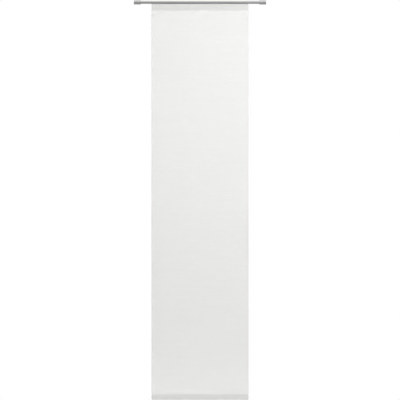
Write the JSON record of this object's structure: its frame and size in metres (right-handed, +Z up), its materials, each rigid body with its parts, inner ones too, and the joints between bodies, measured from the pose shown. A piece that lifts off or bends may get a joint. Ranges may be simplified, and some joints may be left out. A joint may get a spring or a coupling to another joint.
{
  "type": "panel curtain",
  "caption": "Flat sheer panel curtain with a weighted bottom hem, hung by gliders and a slim carrier from a short round track rod with grooved finials.",
  "frame": {"origin": "on the rod's axis, halfway along the rod", "axes": "+X along the rod, to the right as seen from the room; -Y towards the room; +Z up"},
  "size_m": [0.818, 0.028, 2.4755],
  "materials": {
    "rod_aluminium": "satin anodised",
    "finial_aluminium": "satin anodised, turned",
    "plug_plastic": "moulded",
    "screw_steel": "zinc plated",
    "stop_plastic": "moulded",
    "glider_plastic": "moulded",
    "carrier_aluminium": "plain extruded",
    "carrier_cap_plastic": "moulded",
    "hook_tape_nylon": "woven tape with hooks",
    "loop_tape_nylon": "woven tape with loops",
    "sheer_cloth": "sheer plain weave with slubs",
    "bar_aluminium": "plain extruded",
    "bar_cap_plastic": "moulded"
  },
  "bodies": {
    "rod": {"rod_tube": "rod_aluminium", "finial_left": "finial_aluminium", "finial_right": "finial_aluminium", "finial_plug_left": "plug_plastic", "finial_plug_right": "plug_plastic", "finial_screw_left": "screw_steel", "finial_screw_right": "screw_steel", "end_stop_left": "stop_plastic", "end_stop_right": "stop_plastic", "end_stop_screw_left": "screw_steel", "end_stop_screw_right": "screw_steel"},
    "gliders": {"glider_1": "glider_plastic", "glider_2": "glider_plastic", "glider_3": "glider_plastic", "glider_4": "glider_plastic"},
    "panel": {"panel_carrier": "carrier_aluminium", "carrier_cap_left": "carrier_cap_plastic", "carrier_cap_right": "carrier_cap_plastic", "hook_tape": "hook_tape_nylon", "loop_tape": "loop_tape_nylon", "curtain_panel": "sheer_cloth", "weight_bar": "bar_aluminium", "weight_bar_cap_left": "bar_cap_plastic", "weight_bar_cap_right": "bar_cap_plastic"}
  },
  "joints": [
    {"name": "panel_slide", "type": "slide", "parent": "rod", "child": "gliders", "axis": [1, 0, 0], "range_m": [-0.06, 0.06]},
    {"name": "panel_swing", "type": "hinge", "parent": "gliders", "child": "panel", "pos_m": [0, 0, -0.01365], "axis": [1, 0, 0], "range_deg": [-6, 6]}
  ]
}
